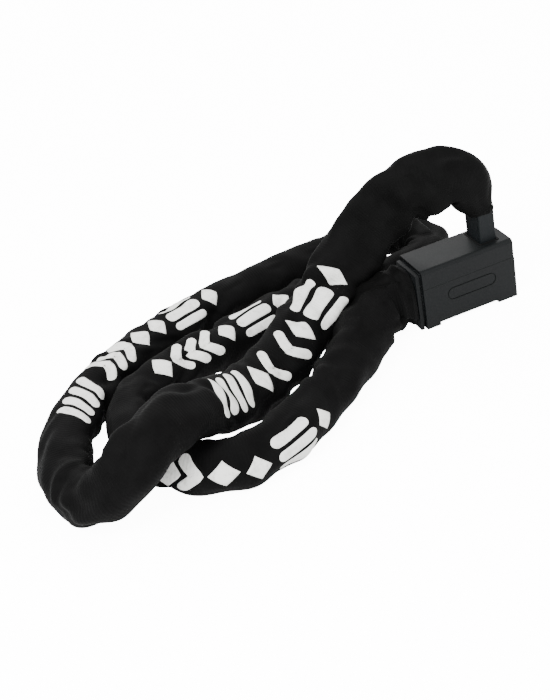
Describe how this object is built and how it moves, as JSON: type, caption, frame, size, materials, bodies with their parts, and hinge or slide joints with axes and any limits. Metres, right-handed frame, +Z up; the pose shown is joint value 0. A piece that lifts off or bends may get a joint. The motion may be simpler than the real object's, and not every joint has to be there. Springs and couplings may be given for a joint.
{
  "type": "chain lock",
  "caption": "Chain lock: a small plastic-clad lock body with a push-in plug, and a square-bar chain in a woven sleeve laid in a double loop.",
  "frame": {"origin": "middle of the lock body's underside, on the surface it stands on", "axes": "+X along the lock body from the chain's fixed end to the plug, +Y to the back, +Z up"},
  "size_m": [0.3088, 0.1989, 0.1057],
  "materials": {
    "cover_plastic": "fine grained satin, moulded",
    "end_cap_plastic": "satin, moulded",
    "slide_plastic": "satin, moulded",
    "rubber_trim": "dull",
    "cast_zinc": "as cast",
    "brass_works": "turned",
    "zinc_plated_steel": "zinc plated",
    "hardened_steel": "ground",
    "shroud_plastic": "satin, moulded",
    "sleeve_textile": "woven black polyester with a pale reflective print",
    "chain_steel": "case hardened, zinc plated"
  },
  "bodies": {
    "root": {"anchor_pin": "hardened_steel", "bolt_plate": "zinc_plated_steel", "bolt_plate_screws": "zinc_plated_steel", "chain_links_01_to_04": "chain_steel", "chain_links_05_to_08": "chain_steel", "chain_links_09_to_12": "chain_steel", "chain_links_13_to_16": "chain_steel", "chain_links_17_to_20": "chain_steel", "chain_links_21_to_24": "chain_steel", "chain_links_25_to_28": "chain_steel", "chain_links_29_to_32": "chain_steel", "chain_links_33_to_36": "chain_steel", "chain_links_37_to_40": "chain_steel", "chain_links_41_to_44": "chain_steel", "chain_links_45_to_48": "chain_steel", "chain_links_49_to_52": "chain_steel", "chain_links_53_to_56": "chain_steel", "chain_links_57_to_60": "chain_steel", "chain_links_61_to_64": "chain_steel", "chain_links_65_to_68": "chain_steel", "chain_links_69_to_71": "chain_steel", "cover_screws": "zinc_plated_steel", "cylinder_shell": "brass_works", "end_cap": "end_cap_plastic", "end_cap_screws": "zinc_plated_steel", "lock_case": "cast_zinc", "lower_cover": "cover_plastic", "sleeve_lift": "sleeve_textile", "sleeve_run": "sleeve_textile", "slot_seal": "rubber_trim", "socket_liner": "hardened_steel", "upper_cover": "cover_plastic"},
    "core": {"core": "brass_works", "lock_discs": "brass_works", "disc_spacers": "brass_works", "sidebar": "zinc_plated_steel", "core_clip": "zinc_plated_steel", "drive_cam": "brass_works"},
    "bolt": {"locking_bolt": "hardened_steel"},
    "dust_cover": {"dust_cover": "slide_plastic"},
    "plug": {"stud": "hardened_steel", "stud_shroud": "shroud_plastic", "stud_pin": "hardened_steel", "sleeve_neck": "rubber_trim", "end_link": "chain_steel"}
  },
  "joints": [
    {"name": "plug_pull", "type": "slide", "parent": "root", "child": "plug", "axis": [0, 0, 1], "range_m": [0, 0.0185], "deforming": ["sleeve_lift", "chain_links_61_to_64", "chain_links_65_to_68", "chain_links_69_to_71"]},
    {"name": "core_turn", "type": "hinge", "parent": "root", "child": "core", "pos_m": [-0.001, 0, 0.014], "axis": [0, 0, 1], "range_deg": [0, 90]},
    {"name": "bolt_throw", "type": "slide", "parent": "root", "child": "bolt", "axis": [1, 0, 0], "range_m": [0, 0.00453]},
    {"name": "dust_cover_slide", "type": "slide", "parent": "root", "child": "dust_cover", "axis": [1, 0, 0], "range_m": [0, 0.012]}
  ],
  "couplings": [
    {"joint": "core_turn", "follows": "bolt_throw", "rad_per_m": 347.1}
  ]
}
